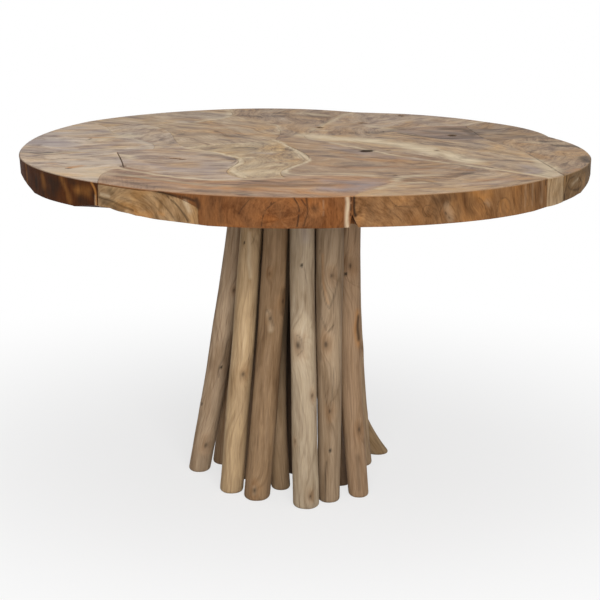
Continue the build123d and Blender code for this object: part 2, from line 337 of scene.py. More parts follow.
def marker(kind):
    """A maker of one kind of mark: half width in mm, strength, then two numbers for each of its points."""

    def mark(half, strength, *numbers):
        return kind, half, strength, list(zip(numbers[::2], numbers[1::2]))

    return mark


pale, dark, warm, grey = [marker(kind) for kind in KINDS]

# Each block: turn of its grain from the x axis in degrees, where the pith of the log lies under the top
# (across the grain from the block's middle, and below the top, in metres), where rings centre on the rim
# (bearing, height in mm), colour of its top and of its rim
BLOCKS = {
    "front_left_dark": (8, 0.10, 0.20, (-125, 745), (198, 177, 155), (74, 42, 20)),
    "front_reddish": (-4, 0.02, 0.12, (-3.5, 735), (168, 137, 111), (119, 76, 43)),
    "front_rim_filler": (-24, 0.05, 0.10, (-31, 690), (165, 138, 106), (152, 122, 88)),
    "front_right_tan": (22, -0.04, 0.14, (8, 655), (176, 150, 122), (134, 96, 61)),
    "right_end": (70, 0.06, 0.12, (66, 712), (170, 145, 118), (136, 110, 80)),
    "left_grey": (6, -0.05, 0.25, (-100, 700), (188, 170, 153), (112, 76, 46)),
    "centre_left": (-6, 0.10, 0.18, (0, 700), (179, 157, 137), (130, 94, 62)),
    "centre_lens": (82, 0.05, 0.10, (0, 700), (180, 157, 127), (130, 94, 62)),
    "centre_right": (-12, -0.10, 0.16, (0, 700), (166, 141, 116), (130, 94, 62)),
    "long_pale": (-42, 0.08, 0.14, (85, 745), (178, 155, 129), (164, 138, 106)),
    "back_right_inner": (75, 0.05, 0.18, (165, 700), (174, 152, 130), (136, 100, 66)),
    "back_right": (40, 0.02, 0.16, (150, 760), (180, 158, 136), (140, 104, 70)),
    "inset_dark": (20, 0.03, 0.12, (0, 700), (152, 131, 115), (120, 92, 66)),
    "right_back": (30, 0.07, 0.16, (118, 740), (158, 136, 113), (130, 94, 60)),
    "back_centre": (84, -0.04, 0.14, (-178, 690), (167, 144, 121), (140, 102, 68)),
    "back_left": (-20, 0.10, 0.20, (-145, 750), (182, 161, 138), (134, 96, 60)),
    "inner_left": (60, 0.04, 0.16, (-118, 700), (186, 166, 145), (140, 104, 70)),
    "inner_back": (-50, 0.06, 0.14, (0, 700), (179, 155, 128), (130, 94, 62)),
}

# Blocks whose growth rings follow an edge: points of that edge on the seam map
RING_EDGES = {
    "centre_lens": [
        (-62, 107), (-6, -57), (14, -185), (-30, -298), (-35, -416),
        (-117, -442), (-154, -325), (-137, -220), (-180, -119), (-264, -31),
    ],
    "front_reddish": [
        (-404, -575), (-410, -430), (-374, -317), (-265, -422), (-175, -469),
        (-117, -442), (-35, -416), (65, -382), (192, -447), (137, -541),
    ],
}

# Places where the grain bends round a knot: (x, y, reach, push), in millimetres on the seam map
SWIRLS = [
    (145, -53, 60, 34), (-268, -186, 45, 22), (-474, -323, 40, 24), (-482, 93, 40, 20),
    (48, 316, 45, 20), (150, 406, 50, 24), (358, 208, 55, 26), (-300, 30, 45, 22),
    (-135, -34, 60, 30), (350, -240, 60, -30), (-60, 225, 70, 34), (610, 35, 50, 26),
    (270, -60, 80, -40), (-110, -540, 90, -30), (300, -520, 80, 44), (530, -110, 70, 36),
    (-380, 380, 60, 30), (0, 540, 80, -34), (440, 330, 80, 36), (-520, -40, 70, 26),
    (60, -250, 80, 30), (-240, 250, 90, -40),
]

# The same on the rim: (bearing from the front, height in mm, reach, push)
RIM_SWIRLS = [
    (-35.6, 766, 15, 9), (-24.6, 734, 14, 8), (2.0, 758, 13, 8), (-3.8, 752, 12, 5), (22.8, 746, 13, 10),
    (26.8, 742, 17, 11), (31.6, 752, 16, 8), (34.5, 762, 14, 8), (39.4, 742, 15, 12), (63, 753, 17, 11),
]

# Marks on the top, their points on the seam map
TOP_MARKS = [
    # left grey block
    grey(62, 0.75, -620, 10, -580, 15, -540, -20),
    grey(30, 0.4, -540, -90, -470, -60, -420, 20),
    dark(5, 0.9, -594, -138, -571, -145, -549, -139),
    dark(14, 0.35, -610, -132, -571, -138, -500, -118),
    warm(12, 0.6, -492, 92, -470, 98, -440, 100),
    dark(5, 0.6, -491, 62, -489, 84),
    dark(4, 0.5, -500, 118, -477, 130, -456, 156, -439, 174),
    pale(38, 0.55, -469, 59, -437, 109, -392, 129),
    pale(16, 0.45, -560, -155, -482, -100, -419, -70, -330, -40),
    # dark front left block
    dark(15, 0.28, -540, -235, -512, -222, -471, -191, -415, -150),
    warm(13, 0.75, -484, -336, -472, -322, -462, -308),
    dark(4, 0.6, -492, -345, -482, -338),
    warm(10, 0.4, -536, -286, -524, -282),
    pale(60, 0.35, -500, -380, -440, -350, -425, -430),
    # centre left block
    pale(22, 0.65, -396, -160, -377, -172, -372, -200),
    grey(40, 0.45, -378, -252, -321, -287, -243, -345, -203, -330),
    dark(20, 0.42, -215, -135, -179, -155, -158, -187, -148, -205),
    dark(5, 0.5, -170, -160, -146, -190, -143, -225, -150, -250),
    pale(12, 0.5, -185, -235, -165, -225),
    pale(14, 0.45, -290, -80, -240, -90, -190, -130),
    grey(30, 0.3, -200, -250, -190, -390),
    # lens
    pale(
        8, 0.9, -68, 99, -50, 59, -23, -28, 2, -126, 14, -170, 14, -206, 2, -241, -14, -273, -26, -309,
        -31, -350, -25, -374
    ),
    dark(2.5, 0.4, -8, -90, 4, -166, 4, -206, -10, -240),
    pale(
        10, 0.9, -260, -40, -225, -77, -192, -105, -163, -140, -140, -165, -132, -197, -134, -248, -148,
        -312, -139, -366, -120, -430
    ),
    pale(13, 0.55, -251, -43, -217, -5, -177, 23, -120, 48),
    pale(17, 0.7, -128, -172, -112, -168),
    pale(46, 0.5, -118, -380, -80, -350, -50, -370),
    pale(14, 0.5, -126, -324, -88, -293, -44, -261),
    pale(15, 0.75, -36, -335, -33, -360),
    dark(15, 0.6, -152, -32, -131, -28, -112, -31),
    dark(26, 0.3, -150, -32, -110, -40),
    dark(12, 0.5, -62, -40, -44, -36, -27, -58),
    dark(9, 0.4, -72, -70, -49, -77),
    grey(20, 0.45, -100, -95, -70, -110),
    warm(9, 0.35, -72, -235, -40, -218, -15, -194, -6, -170),
    # centre right block
    pale(8, 0.6, -31, -350, -25, -374, -5, -388, 24, -392, 68, -385, 110, -380),
    dark(7, 0.55, 52, -14, 81, -46, 107, -62, 130, -62),
    warm(26, 0.32, 94, -144, 148, -181, 214, -175),
    warm(30, 0.3, 30, -250, 120, -290, 200, -260),
    grey(30, 0.35, 60, 20, 150, -110, 260, -160),
    dark(9, 0.5, 324, -215, 351, -245),
    warm(22, 0.4, 241, -293, 293, -276, 355, -297),
    grey(36, 0.45, 60, -455, 100, -475, 139, -438),
    dark(22, 0.25, 250, -270, 330, -300, 400, -310),
    pale(16, 0.28, 20, -370, 70, -360, 150, -385),
    # long pale block
    pale(52, 0.95, 8, 176, 65, 132, 136, 110, 215, 62, 269, 0, 319, -90, 370, -180),
    pale(11, 0.66, 66, 68, 110, 10, 188, -88, 280, -178, 373, -250, 440, -310, 512, -376),
    dark(3, 0.65, 507, -65, 530, -221, 547, -345, 562, -366),
    pale(30, 0.7, 507, -348, 533, -300, 528, -220, 520, -150),
    dark(16, 0.3, 361, 40, 424, -20, 480, -82),
    dark(14, 0.25, 240, 120, 330, 60, 400, 20),
    grey(24, 0.45, 480, -230, 500, -300, 470, -330),
    # inset dark block and its neighbours
    dark(15, 0.7, 240, 234, 261, 205, 297, 172, 353, 158, 421, 175),
    dark(28, 0.62, 349, 315, 395, 310, 412, 220),
    dark(32, 0.42, 300, 270, 360, 240, 400, 190),
    dark(28, 0.45, 170, 232, 205, 262, 239, 318),
    pale(22, 0.5, 167, 350, 202, 319, 225, 286),
    pale(14, 0.5, 24, 302, 33, 268, 60, 262),
    pale(12, 0.45, 20, 240, 44, 327, 104, 541, 134, 600),
    pale(16, 0.4, 410, 400, 455, 450, 490, 500),
    # back
    pale(34, 0.55, 0, 570, 19, 558, 58, 533),
    dark(22, 0.5, -72, 560, -45, 561),
    dark(30, 0.3, -159, 502, -83, 500, -6, 517, 60, 500),
    pale(9, 0.65, -84, 367, -62, 340, -57, 290, -57, 240),
    pale(10, 0.7, -68, 212, -62, 200),
    warm(10, 0.35, -293, 227, -216, 207, -138, 188, -62, 160, -12, 164),
    pale(16, 0.4, -330, 345, -271, 352, -239, 330),
    pale(13, 0.65, -264, 375, -228, 430, -190, 481, -190, 560, -194, 620),
    dark(26, 0.32, -381, 387, -363, 371),
    pale(26, 0.45, -369, 273, -340, 285),
    dark(9, 0.45, -306, 14, -297, 46),
    pale(12, 0.35, -474, 262, -440, 148, -380, 70, -340, -50),
    dark(24, 0.3, -240, 180, -170, 150, -110, 170),
    warm(24, 0.25, -230, 300, -160, 330, -120, 300),
    # right
    dark(20, 0.5, 560, 122, 594, 131),
    dark(26, 0.75, 596, 62, 621, 60, 636, 42, 654, 38),
    dark(30, 0.8, 628, -95, 624, -160),
    warm(10, 0.5, 613, -79),
    warm(15, 0.4, 563, -300, 590, -266),
    dark(9, 0.5, 511, -22, 523, -50),
    dark(26, 0.3, 470, 240, 540, 200, 600, 190),
    pale(22, 0.35, 520, 120, 580, 100, 620, 110),
    # reddish block
    pale(12, 0.7, -384, -335, -335, -376, -270, -428, -200, -458, -125, -452, -40, -428),
    pale(20, 0.5, -400, -400, -351, -426, -286, -468, -223, -506, -142, -531, -23, -544, 60, -530),
    dark(18, 0.36, -400, -470, -320, -530, -258, -570, -190, -592, -100, -612),
    dark(12, 0.3, -370, -400, -280, -480, -180, -520, -80, -500, 20, -470),
    warm(16, 0.4, -350, -450, -260, -500, -150, -560, -40, -580),
    warm(42, 0.52, -150, -548, -30, -535, 80, -518),
    dark(34, 0.48, -120, -535, -30, -520, 60, -508),
    grey(42, 0.6, 140, -480, 96, -550, 50, -545),
    warm(24, 0.3, -60, -470, 40, -440, 110, -440),
    dark(15, 0.34, -117, -458, -73, -471, -30, -486, 2, -450, 35, -430),
    warm(22, 0.45, -230, -539, -176, -559, -93, -520, -50, -543, 10, -560),
    warm(26, 0.5, -3, -590, 44, -605, 75, -615, 98, -620),
    dark(16, 0.28, -60, -618, 20, -624, 90, -634),
    pale(8, 0.45, -132, -609, -111, -614, -86, -629),
    # tan block
    pale(20, 0.55, 190, -440, 211, -390, 250, -375, 287, -365),
    warm(20, 0.4, 364, -421, 407, -405, 469, -400),
    pale(16, 0.45, 150, -540, 200, -480, 250, -460),
    dark(12, 0.4, 300, -395, 342, -345, 380, -360),
    dark(10, 0.35, 190, -400, 240, -440, 280, -470),
    grey(26, 0.35, 330, -470, 400, -450, 430, -400),
    dark(10, 0.3, 380, -480, 440, -430, 490, -400),
]

# Marks on the rim, their points as bearing and height above the floor
RIM_MARKS = [
    # dark block: a warm upright strip, blotches, and a yellowish edge by its seam
    warm(6, 0.6, -64.6, 778, -64.4, 757, -64.2, 736),
    dark(13, 0.6, -58.5, 756, -58.2, 744),
    dark(26, 0.7, -52.5, 764, -50.2, 762, -51.2, 748),
    dark(15, 0.55, -46.2, 775, -45, 770),
    dark(14, 0.5, -56, 736, -55.4, 731),
    dark(16, 0.45, -53.6, 738, -52, 733),
    dark(18, 0.55, -43, 738, -41.5, 733),
    dark(10, 0.5, -40.6, 756, -39.8, 752),
    warm(13, 0.32, -55.6, 768, -55.2, 745),
    warm(10, 0.26, -48.8, 776, -48, 764, -46.9, 748, -46.6, 738),
    warm(14, 0.28, -46.6, 740, -46.2, 730),
    warm(20, 0.34, -44, 756, -41.5, 758),
    warm(5, 0.6, -40.2, 778, -39.4, 764, -39.2, 752, -39.1, 728),
    pale(4, 0.4, -39.3, 752, -39.2, 728),
    # filler: knot, a dark ledge and growth rings
    dark(11, 0.45, -35.9, 767, -35.3, 765),
    pale(6, 0.35, -37.8, 758, -36, 756),
    dark(5, 0.65, -38.4, 751, -36, 748, -34.4, 744, -32.5, 738, -30.5, 734),
    dark(12, 0.5, -37.4, 744, -35, 736, -33, 730),
    warm(14, 0.35, -33.8, 736, -30, 731, -27, 729),
    dark(2.8, 0.7, -23.6, 772, -21.4, 751, -19.6, 724),
    dark(2.2, 0.55, -22.4, 764, -20.6, 742, -19.2, 724),
    dark(2.4, 0.5, -26.2, 768, -24.6, 756, -22.8, 736, -21.8, 721),
    dark(1.8, 0.4, -28.6, 768, -26.4, 752, -24.6, 736),
    dark(1.8, 0.35, -31, 768, -28.8, 754, -27.2, 742),
    warm(7, 0.4, -25, 735, -24.2, 732),
    pale(9, 0.35, -20.2, 764, -19.2, 745),
    # reddish block: the joint over the filler with its shadow painted on, cracks and a knot
    dark(5, 0.8, -25.4, 778, -22.2, 774, -19.8, 770.5, -18.2, 765),
    dark(9, 0.75, -18, 768, -17.6, 752),
    dark(22, 0.28, -15.6, 768, -15.4, 735),
    dark(8, 0.4, -14, 771, -13.7, 725),
    dark(1.8, 0.6, -8.8, 775, -10.2, 755, -10.6, 745),
    dark(1.8, 0.7, -4.4, 770, -6.2, 752, -6.7, 729, -6.8, 722),
    dark(2.4, 0.85, -1.3, 778, -0.6, 764, -0.4, 750, -0.6, 722),
    dark(3.6, 0.75, 0.9, 778, 1, 760),
    dark(2.2, 0.7, 0, 775, 0.7, 764),
    dark(2.4, 0.7, 1, 762, 1.1, 750, 0.5, 724),
    dark(11, 0.55, 1.9, 759, 2.3, 757),
    dark(10, 0.34, -4.2, 762, -3.8, 758),
    dark(9, 0.32, -3.4, 747, -3, 744),
    dark(8, 0.35, -9.2, 777, -8.4, 776),
    pale(3, 0.1, 3.8, 772, 3.8, 744),
    # pale strip and open joint at its right end
    pale(6.5, 0.62, 8.1, 780, 8.1, 716),
    dark(2.4, 0.9, 8.75, 782, 8.75, 742),
    dark(4.5, 0.9, 9.3, 782, 9.3, 757, 9.6, 742),
    # tan block: slanting rings at the left, a knot, a burl, a folded arc, then straight streaks
    dark(1.8, 0.45, 14.2, 768, 16, 748, 18.5, 725),
    dark(1.8, 0.55, 15.3, 777, 16.5, 762, 17.7, 757, 21.1, 756),
    dark(1.6, 0.35, 10.8, 770, 12.4, 748, 14, 724),
    dark(12, 0.3, 22.8, 747, 22.6, 744),
    dark(1.6, 0.45, 21.7, 746, 22.2, 756, 23.2, 757, 23.9, 747, 23.3, 736, 22.2, 736, 21.7, 746),
    dark(22, 0.42, 24.6, 770, 26.5, 772, 28.3, 773),
    dark(26, 0.42, 30.2, 766, 31.4, 756),
    dark(18, 0.42, 31.4, 742, 31.8, 736),
    dark(12, 0.36, 28.8, 755, 29, 732),
    dark(12, 0.3, 24.4, 750, 24.6, 732),
    pale(13, 0.2, 26.5, 758, 27.1, 742, 27.6, 727),
    dark(1.8, 0.5, 25.2, 744, 26.2, 764, 27.6, 752, 28.4, 738),
    dark(3, 0.6, 26.3, 741, 26.5, 738),
    dark(3, 0.5, 27, 731, 27.2, 729),
    warm(15, 0.3, 32.2, 775, 34, 766, 36, 769),
    pale(10, 0.12, 34.9, 756, 35.6, 748),
    dark(2.2, 0.55, 33.2, 764, 34, 758, 34.8, 744, 35.3, 727),
    warm(5, 0.28, 38.4, 731, 38.6, 748, 39.5, 753, 40.4, 741, 40.3, 729),
    dark(1.6, 0.5, 37.7, 731, 37.9, 750, 39.5, 758, 41.1, 744, 41.2, 729),
    dark(2.6, 0.35, 41.9, 775, 42.1, 730),
    dark(4, 0.32, 43.9, 775, 44.1, 730),
    dark(3, 0.35, 46.3, 775, 46.5, 732),
    dark(4, 0.25, 48.4, 775, 48.6, 732),
    pale(6, 0.1, 45.1, 775, 45.3, 732),
    pale(6, 0.1, 47.4, 775, 47.6, 732),
    pale(9, 0.12, 50.4, 775, 50.6, 732),
    dark(5, 0.75, 52, 780, 52, 768),
    # right end: dark bits in its seam, a ringed knot, and a dark outer end
    dark(4, 0.8, 58.9, 778, 58.8, 766),
    dark(2.5, 0.5, 58.8, 764, 58.5, 738),
    dark(4, 0.9, 58.4, 738, 58.4, 728),
    dark(4, 0.5, 62.5, 770, 60.1, 767, 59.6, 754, 61.5, 743, 65.8, 739, 67.2, 750, 65.4, 763),
    pale(5, 0.3, 61.4, 754, 64.7, 762),
    warm(7, 0.32, 69, 764, 69, 740),
    dark(22, 0.58, 73.3, 774, 76.2, 742),
    dark(20, 0.6, 80, 772, 84, 745),
    dark(12, 0.3, 67, 772, 70, 768),
]

# Pits in the top: (x, y, half length, half width, turn, depth), in millimetres on the seam map
PITS = [
    (-275, -192, 13, 7, 0, 7), (-259, -205, 8, 6, 0, 6), (43, 316, 8, 10, 0, 6), (151, 406, 12, 9, 0, 6),
    (358, 209, 10, 12, 0, 7), (-48, 194, 5, 4, 0, 3), (194, -37, 5, 4, 0, 3), (304, -32, 6, 5, 0, 3),
    (-377, -305, 7, 6, 30, 6), (255, 549, 7, 9, 0, 5), (193, -373, 5, 4, 0, 2), (-487, -341, 7, 5, 20, 3),
]
KNOT_HOLE = (145, -53, 18, 13.5, 60)

# The wall: depth of its small hollows, how far in from the rim and how far below the top they start, and
# how far its left end leans in towards its foot
DENT = 0.0012
DENT_WITHIN = 0.03
DENT_BELOW = 0.004
UNDERCUT = 0.007
UNDERCUT_BEARING = -82
UNDERCUT_SPAN = 17

# The rim's lower edge is uneven: (bearing, span, lift in mm), over this height and breadth of the rim
FOOT_LIFTS = [(-60, 4, 4.5), (-45, 3, 1.5), (-34, 1.8, -4.5), (-29.5, 2.2, 3), (67, 5, 6), (54, 3, -2)]
FOOT_HEIGHT = 0.045
FOOT_FROM = 0.57
FOOT_BREADTH = 0.05

# The grain's slow waves: (noise scale, step of its seed from block to block, height in metres)
WARPS = ((5.0, 7.3, 0.040), (14.0, 2.7, 0.012))
# How far from the middle the rim's grain and its marks start, in mm, and how much the waves move them
RIM_GRAIN_FROM = 560
RIM_MARKS_FROM = 600
RIM_RING_WARP = 0.3
RIM_FLOW_WARP = 0.25


def line_distance(places, points):
    """How far each place is from a line through the points, in the plane."""
    best = np.full(len(places), 1e9)
    if len(points) == 1:
        return np.hypot(places[:, 0] - points[0][0], places[:, 1] - points[0][1])
    for a, b in zip(points, points[1:]):
        a = np.array(a, float)
        run = np.array(b, float) - a
        share = np.clip(((places - a) @ run) / (run @ run), 0, 1)
        away = places - (a + share[:, None] * run)
        best = np.minimum(best, np.hypot(away[:, 0], away[:, 1]))
    return best


def smooth_line(points):
    """A line through the points with its corners rounded."""
    if len(points) < 3:
        return points
    drawn = [np.array(p, float) for p in points]
    drawn = [2 * drawn[0] - drawn[1]] + drawn + [2 * drawn[-1] - drawn[-2]]
    line = []
    for before, a, b, after in zip(drawn, drawn[1:], drawn[2:], drawn[3:]):
        for t in (0.0, 0.25, 0.5, 0.75):
            bow = (b - before) * t * (1 - t) ** 2 - (after - a) * t * t * (1 - t)
            line.append(a * (1 + 2 * t) * (1 - t) ** 2 + b * t * t * (3 - 2 * t) + bow / 2)
    return line + [drawn[-2]]


def lines_of(marks, convert=list):
    """Each mark's kind, half width and strength, with the line through its converted points."""
    for kind, half, strength, points in marks:
        yield kind, half, strength, smooth_line(convert(points))


def noises(places, scale, seed=0.0):
    """Smooth noise at each place, about -1 to 1."""
    spots = [Vector((x * scale + seed, y * scale, z * scale - seed)) for x, y, z in places]
    return np.array([noise.noise(spot) for spot in spots])


def soft(distance, reach):
    """1 at no distance, falling smoothly to 0 at the reach."""
    share = np.clip(1 - distance / reach, 0, 1)
    return share * share * (3 - 2 * share)


def hump(places, x, y, reach):
    """1 at a point of the plane, falling off round it."""
    return np.exp(-((places[:, 0] - x) ** 2 + (places[:, 1] - y) ** 2) / reach**2)


def map_places(co):
    """Vertices as millimetres on the seam map."""
    return (co[:, :2] - np.array(MAP_MIDDLE)) / MM


def in_frame(x, y):
    """A point of the seam map in the row frame."""
    return Vector((x * MM, y * MM)) + MAP_MIDDLE


def rim_places(co):
    """Vertices as (millimetres along the rim from the front, height in millimetres)."""
    flat = map_places(co)
    bearing = np.arctan2(flat[:, 0], -flat[:, 1])
    return np.stack([bearing * RIM_RADIUS / MM, co[:, 2] / MM], 1)


def rim_line(points):
    """Points given by bearing and height, as rim_places gives the vertices."""
    return [(math.radians(b) * RIM_RADIUS / MM, z) for b, z in points]


def polar(co):
    """Vertices' offsets from the top's middle, their distances from it, and their bearings."""
    out = co[:, :2] - np.array(MAP_MIDDLE)
    return out, np.hypot(out[:, 0], out[:, 1]), np.degrees(np.arctan2(out[:, 0], -out[:, 1]))


def coordinates(mesh):
    co = np.zeros(len(mesh.vertices) * 3)
    mesh.vertices.foreach_get("co", co)
    return co.reshape(-1, 3)


def move_vertices(mesh, co):
    mesh.vertices.foreach_set("co", co.astype(np.float32).ravel())


def set_attribute(mesh, name, values):
    """Writes numbers, vectors or colours on the vertices, by how many values each has."""
    kind, field = {
        1: ("FLOAT", "value"),
        3: ("FLOAT_VECTOR", "vector"),
        4: ("FLOAT_COLOR", "color"),
    }[values.size // len(values)]
    data = mesh.attributes.new(name, kind, "POINT").data
    data.foreach_set(field, values.astype(np.float32).ravel())


def smooth(mesh):
    for polygon in mesh.polygons:
        polygon.use_smooth = True


def finished(bm, name):
    """A mesh of what was built."""
    mesh = bpy.data.meshes.new(name)
    bm.to_mesh(mesh)
    bm.free()
    return mesh


def put(name, data):
    """A new object in the scene."""
    made = bpy.data.objects.new(name, data)
    bpy.context.scene.collection.objects.link(made)
    return made


def stand_in(name, mesh, node):
    """Puts a mesh in the place of a CAD node."""
    piece = put(name, mesh)
    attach(piece, "root")
    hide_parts(node)


def plain_solid(node):
    """A clean, joined copy of a CAD node's mesh."""
    bm = bmesh.new()
    bm.from_mesh(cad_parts[node].data)
    bmesh.ops.remove_doubles(bm, verts=bm.verts, dist=2e-5)
    bmesh.ops.dissolve_limit(bm, angle_limit=math.radians(0.4), verts=bm.verts, edges=bm.edges)
    return bm


def round_edges(bm):
    """The block's upper and lower edges, rounded as by sanding."""
    sharp = []
    for edge in bm.edges:
        if len(edge.link_faces) == 2:
            one, other = [abs(f.normal.z) > 0.99 for f in edge.link_faces]
            if one != other:
                sharp.append(edge)
    look = {"segments": 2, "profile": 0.5, "affect": "EDGES", "clamp_overlap": True}
    bmesh.ops.bevel(bm, geom=sharp, offset=EDGE_ROUND, **look)


def on_rim(face):
    """Whether a face's middle lies on the outer wall."""
    return (face.calc_center_median().xy - MAP_MIDDLE).length > RIM_RADIUS - RIM_BAND


def is_wall(face):
    return abs(face.normal.z) < FACING_OUT


def cut_planes(bm, geometry, axis, places):
    """Cuts the geometry at each place along an axis, and gives back all of it."""
    normal = Vector([1.0 if i == axis else 0.0 for i in range(3)])
    for place in places:
        plane = {"plane_co": normal * place, "plane_no": normal}
        geometry = bmesh.ops.bisect_plane(bm, geom=geometry, dist=1e-6, **plane)["geom"]
    return geometry


def grid_places(low, high):
    place = math.floor(low / GRID_STEP + 1) * GRID_STEP + GRID_SHIFT
    while place < high - GRID_MARGIN:
        yield place
        place += GRID_STEP


def cut_grid(bm):
    """Cuts the top and the rim into small cells, so that they can carry colour and relief."""
    seen = [f for f in bm.faces if f.normal.z > 0.3 or (on_rim(f) and abs(f.normal.z) < 0.97)]
    geometry = set(seen)
    for f in seen:
        geometry.update(f.edges, f.verts)
    geometry = list(geometry)
    places = [[v.co[axis] for v in bm.verts] for axis in range(3)]
    for axis in range(3):
        geometry = cut_planes(bm, geometry, axis, grid_places(min(places[axis]), max(places[axis])))


def refine(bm, faces, cuts):
    """Cuts some cells finer."""
    edges = set(e for f in faces for e in f.edges)
    if edges:
        bmesh.ops.subdivide_edges(bm, edges=list(edges), cuts=cuts, use_grid_fill=True)


def refine_marks(bm):
    """Cuts cells finer under the thin marks, which the grid would otherwise break into dots."""
    faces = [f for f in bm.faces if f.normal.z > FACING_UP or (is_wall(f) and on_rim(f))]
    centres = np.array([f.calc_center_median() for f in faces])
    upper = centres[:, 2] > TABLE_HEIGHT - TOP_BAND
    near = np.zeros(len(faces), bool)
    for marks, places, side in (
        (lines_of(TOP_MARKS), map_places(centres), upper),
        (lines_of(RIM_MARKS, rim_line), rim_places(centres), ~upper),
    ):
        for _, half, _, line in marks:
            if half < THIN_MARK:
                near |= side & (line_distance(places, line) < half + THIN_MARGIN)
    refine(bm, [f for f, close in zip(faces, near) if close], FINE_CUTS - 1)


def refine_pit(bm, pit):
    """Cuts the top's cells finer round a pit."""
    centre = in_frame(*pit[:2])
    reach = (pit[2] + 4) * MM
    faces = []
    for f in bm.faces:
        middle = f.calc_center_median()
        close = middle.z > TABLE_HEIGHT - TOP_BAND and (middle.xy - centre).length < reach
        if close and (f.normal.z > FACING_UP or is_wall(f)):
            faces.append(f)
    refine(bm, faces, FINE_CUTS)


def pit_share(places, pit):
    """How deep each map place lies in a pit, 0 outside to 1 in the middle."""
    x, y, length, width, turn = pit[:5]
    a = math.radians(turn)
    dx = places[:, 0] - x
    dy = places[:, 1] - y
    u = (dx * math.cos(a) + dy * math.sin(a)) / length
    v = (-dx * math.sin(a) + dy * math.cos(a)) / width
    return np.clip(1.25 - np.hypot(u, v), 0, 1)


def inside(pit, low, high):
    x, y = in_frame(*pit[:2])
    return low.x < x < high.x and low.y < y < high.y


def block_piece(name, number, spec):
    """One block of the top, with rounded edges, pits, relief and the attributes of its wood."""
    node = "block_" + name
    low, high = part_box(node)
    pits = [p for p in PITS if inside(p, low, high)]
    bm = plain_solid(node)
    round_edges(bm)
    cut_grid(bm)
    refine_marks(bm)
    for pit in pits:
        refine_pit(bm, pit)
    mesh = finished(bm, name)
    co = coordinates(mesh)
    flat = map_places(co)
    upper = co[:, 2] > TABLE_HEIGHT - FLAT_BAND
    for pit in pits:
        co[upper, 2] -= (pit_share(flat[upper], pit) ** 0.7) * pit[5] * MM
    shape_rim(co, number)
    move_vertices(mesh, co)
    paint_block(mesh, co, name, number, spec, (low + high) / 2)
    smooth(mesh)
    mesh.set_sharp_from_angle(angle=math.radians(SHARP_ANGLE))
    mesh.materials.append(block_wood("wood_" + name, *spec[-2:]))
    stand_in("top_" + name, mesh, node)


def shape_rim(co, number):
    """Small hollows and tool marks on the outer wall, the undercut at the left, and the uneven foot."""
    out, radius, bearing = polar(co)
    wall = (radius > RIM_RADIUS - DENT_WITHIN) & (co[:, 2] < TABLE_HEIGHT - DENT_BELOW)
    dent = np.abs(noises(co[wall], 22.0, number * 3.1)) * DENT
    below = (TABLE_HEIGHT - co[wall, 2]) / (TABLE_HEIGHT - SLAB_BOTTOM)
    dent += UNDERCUT * np.exp(-(((bearing[wall] - UNDERCUT_BEARING) / UNDERCUT_SPAN) ** 2)) * below
    share = np.clip((SLAB_BOTTOM + FOOT_HEIGHT - co[:, 2]) / FOOT_HEIGHT, 0, 1) ** 1.5
    share *= np.clip((radius - FOOT_FROM) / FOOT_BREADTH, 0, 1)
    for middle, span, lift in FOOT_LIFTS:
        co[:, 2] += lift * MM * np.exp(-(((bearing - middle) / span) ** 2)) * share
    co[wall, :2] -= out[wall] / radius[wall][:, None] * dent[:, None]


def paint_block(mesh, co, name, number, spec, centre):
    """Writes the attributes that the wood's material reads."""
    turn, pith_across, pith_depth, rim_pith = spec[:4]
    a = math.radians(turn)
    warp = sum(noises(co, scale, number * step) * height for scale, step, height in WARPS)
    flat = map_places(co)
    push = np.zeros(len(co))
    for x, y, reach, amount in SWIRLS:
        push += amount * MM * hump(flat, x, y, reach)
    x = co[:, 0] - centre.x
    y = co[:, 1] - centre.y
    u = x * math.cos(a) + y * math.sin(a)
    v = -x * math.sin(a) + y * math.cos(a) + warp + push
    ring = np.hypot(v - pith_across, TABLE_HEIGHT - co[:, 2] - pith_depth)
    if name in RING_EDGES:
        edge = line_distance(flat, smooth_line(RING_EDGES[name])) * MM
        ring = edge + warp * RIM_RING_WARP + push * RIM_RING_WARP
    topness = np.clip((co[:, 2] - (TABLE_HEIGHT - TOP_WOOD_ENDS)) / TOP_WOOD_FADE, 0, 1)
    outer = (np.hypot(flat[:, 0], flat[:, 1]) > RIM_GRAIN_FROM) & (topness < 0.5)
    flow = np.stack([u, v, co[:, 2]], 1)
    if outer.any():
        turned, away = rim_grain(rim_places(co[outer]), rim_pith)
        flow[outer] = np.stack([turned, away + warp[outer] * RIM_FLOW_WARP, np.zeros(len(away))], 1)
        ring[outer] = away + warp[outer] * RIM_RING_WARP
    set_attribute(mesh, "flow", flow + np.array([number * 3.7, number * 1.9, 0]))
    set_attribute(mesh, "ring", ring)
    set_attribute(mesh, "topness", topness)
    set_attribute(mesh, "marks", block_marks(co, topness))


def rim_grain(places, pith):
    """On the rim, how far round its rings each place is, and how far out from their pith, in metres."""
    aside, up = (places - np.array(rim_line([pith])[0])).T
    away = np.hypot(aside, up)
    turned = np.arctan2(aside, up) * np.median(away)
    for bearing, height, reach, push in RIM_SWIRLS:
        away = away + push * hump(places, *rim_line([(bearing, height)])[0], reach)
    return turned * MM, away * MM


